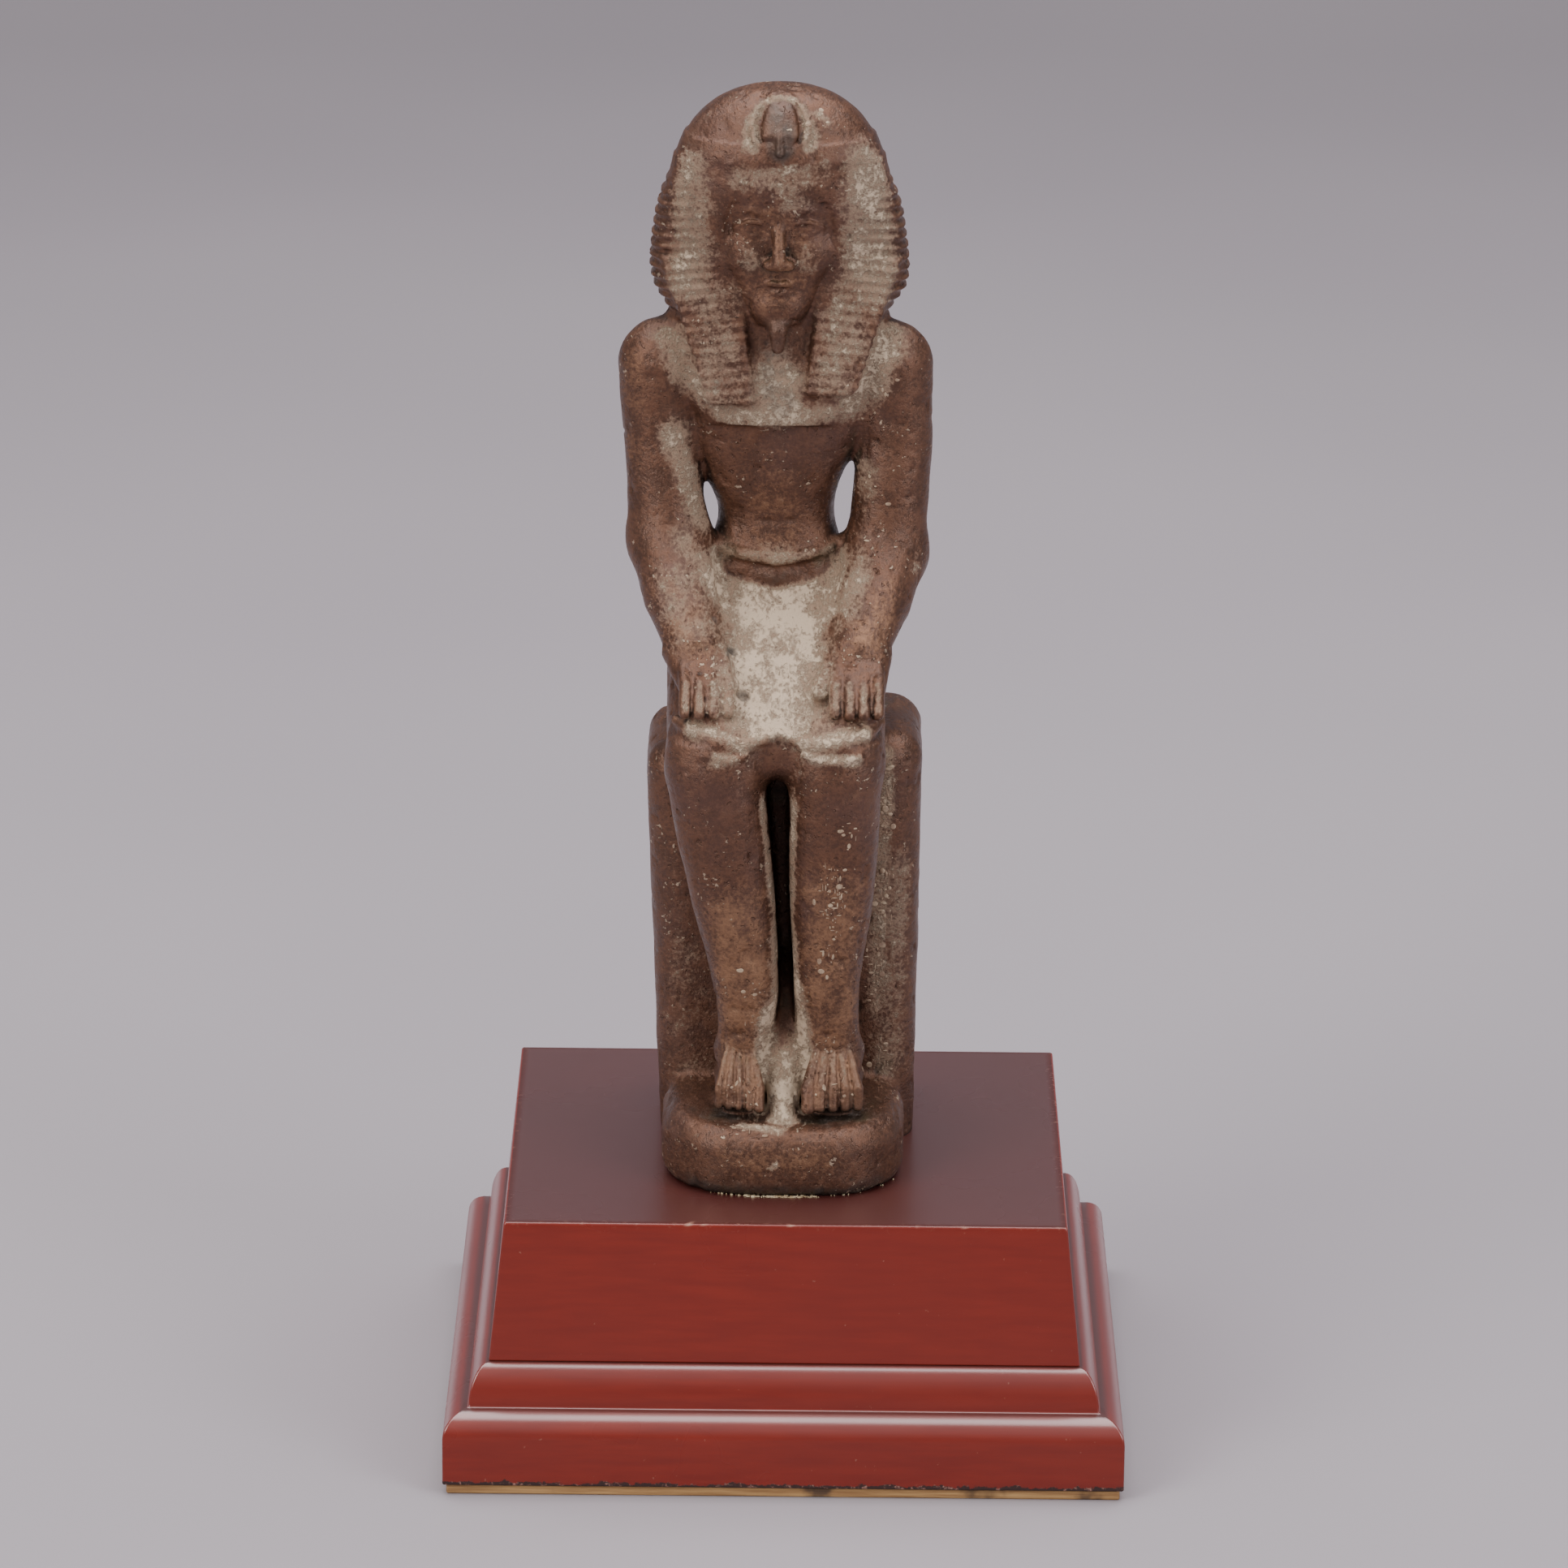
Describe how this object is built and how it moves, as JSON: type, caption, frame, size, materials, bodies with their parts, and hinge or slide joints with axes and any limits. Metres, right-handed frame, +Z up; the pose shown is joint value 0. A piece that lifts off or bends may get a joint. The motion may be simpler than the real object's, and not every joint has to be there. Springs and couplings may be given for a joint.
{
  "type": "egyptian seated figure",
  "caption": "Cast bronze statuette of an enthroned figure in a striped headcloth and short kilt, hands on knees, on a moulded lacquered wood plinth.",
  "frame": {"origin": "middle of the plinth's underside", "axes": "+Z up; the figure looks towards -Y, and +X is to the right of someone who faces it"},
  "size_m": [0.14, 0.13, 0.2774],
  "materials": {
    "patinated_bronze": "dark reddish brown patina, rubbed on the high places, with cream earth in the hollows",
    "red_lacquered_wood": "deep red-brown lacquer, satin gloss",
    "red_lacquered_moulding": "deep red-brown lacquer, satin gloss, chipped at the lower edge",
    "bare_wood": "bare golden wood, stained in places"
  },
  "bodies": {
    "root": {"seated_figure": "patinated_bronze", "plinth_block": "red_lacquered_wood", "plinth_moulding": "red_lacquered_moulding", "backing_board": "bare_wood"}
  },
  "joints": []
}
